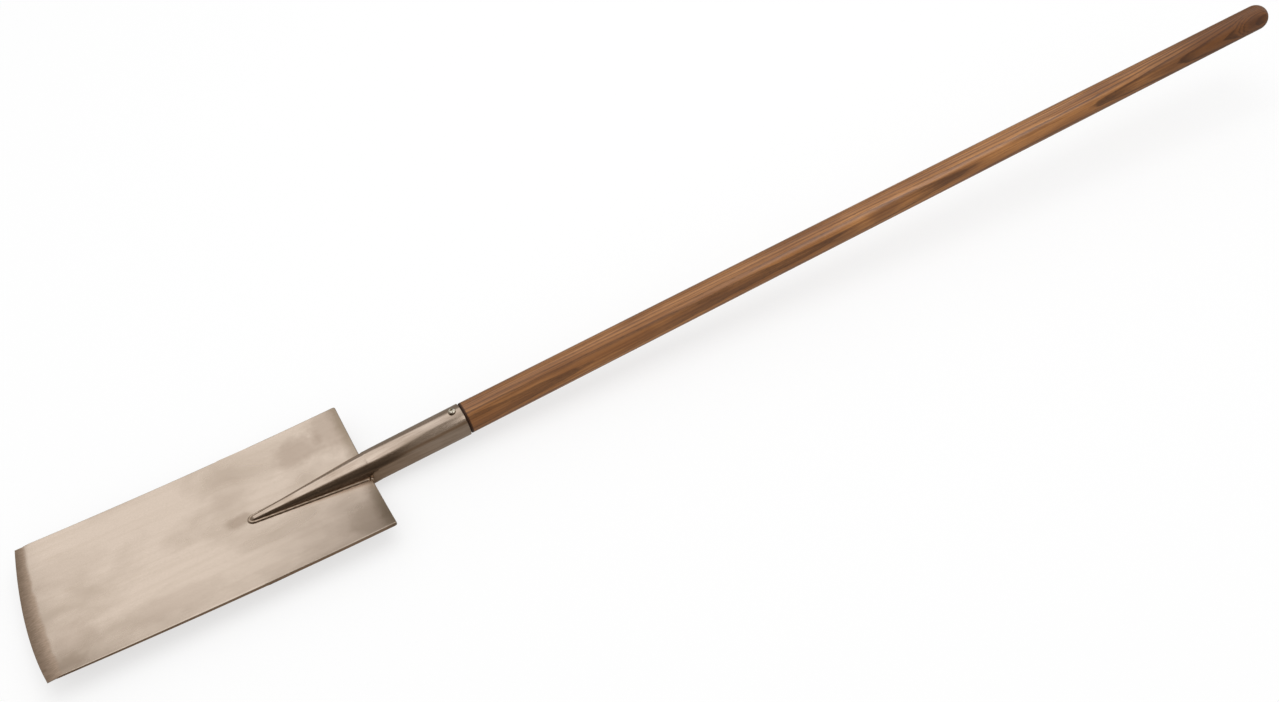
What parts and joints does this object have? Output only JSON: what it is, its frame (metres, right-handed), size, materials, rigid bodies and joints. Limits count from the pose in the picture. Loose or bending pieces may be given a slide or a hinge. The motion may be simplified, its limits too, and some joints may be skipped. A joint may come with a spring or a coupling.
{
  "type": "spade",
  "caption": "Long-handled digging spade: dished non-sparking bronze blade with a welded tube socket and a straight round ash pole held by one screw",
  "frame": {"origin": "middle of the bottom of the spade's box, as it lies on its back", "axes": "+X runs from the cutting edge up the pole, +Y is the spade's left side seen from its front, +Z is square to the front face at the blade's middle"},
  "size_m": [1.8558, 0.2164, 0.1376],
  "materials": {
    "bronze": "satin-polished aluminium bronze",
    "filler_bronze": "brushed weld bead",
    "oiled_ash": "turned and oiled",
    "screw_steel": "zinc-plated"
  },
  "bodies": {
    "root": {"blade": "bronze", "socket": "bronze", "front_weld": "filler_bronze", "back_weld": "filler_bronze", "left_shoulder_weld": "filler_bronze", "right_shoulder_weld": "filler_bronze", "handle": "oiled_ash", "retaining_screw": "screw_steel"}
  },
  "joints": []
}
